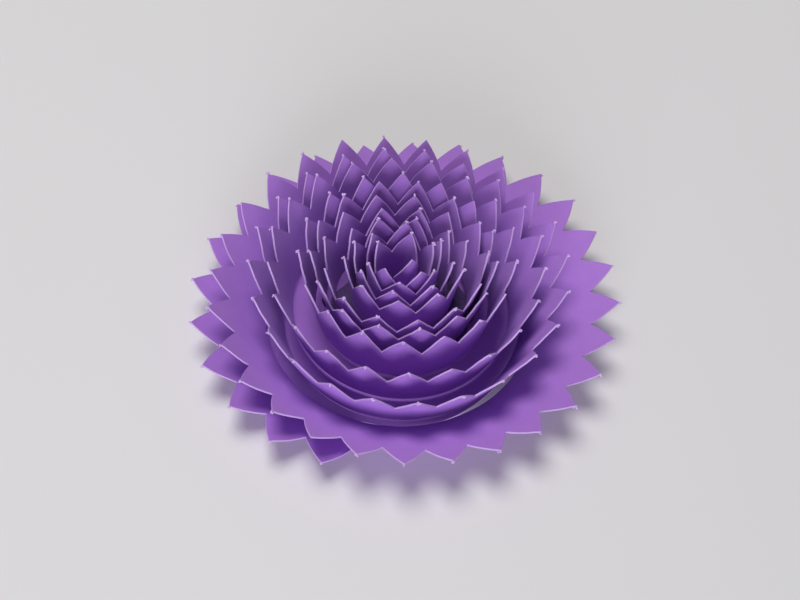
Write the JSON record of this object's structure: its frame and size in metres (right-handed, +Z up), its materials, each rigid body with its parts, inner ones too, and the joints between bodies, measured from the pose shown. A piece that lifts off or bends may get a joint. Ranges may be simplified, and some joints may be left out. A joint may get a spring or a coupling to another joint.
{
  "type": "coiled paper flower",
  "caption": "Paper flower rolled from one spiral strip of card with a pointed edge, standing on the strip's own base disc and held by clear glue.",
  "frame": {"origin": "on the base disc's underside, at the centre of the arc where the strip leaves the disc", "axes": "+Z up, out of the open side of the flower; -Y is the side where the strip leaves the disc"},
  "size_m": [0.0753, 0.0752, 0.0154],
  "materials": {
    "card": "matte",
    "glue": "gloss, clear"
  },
  "bodies": {
    "root": {"flower_strip": "card", "glue_pad": "glue"}
  },
  "joints": []
}
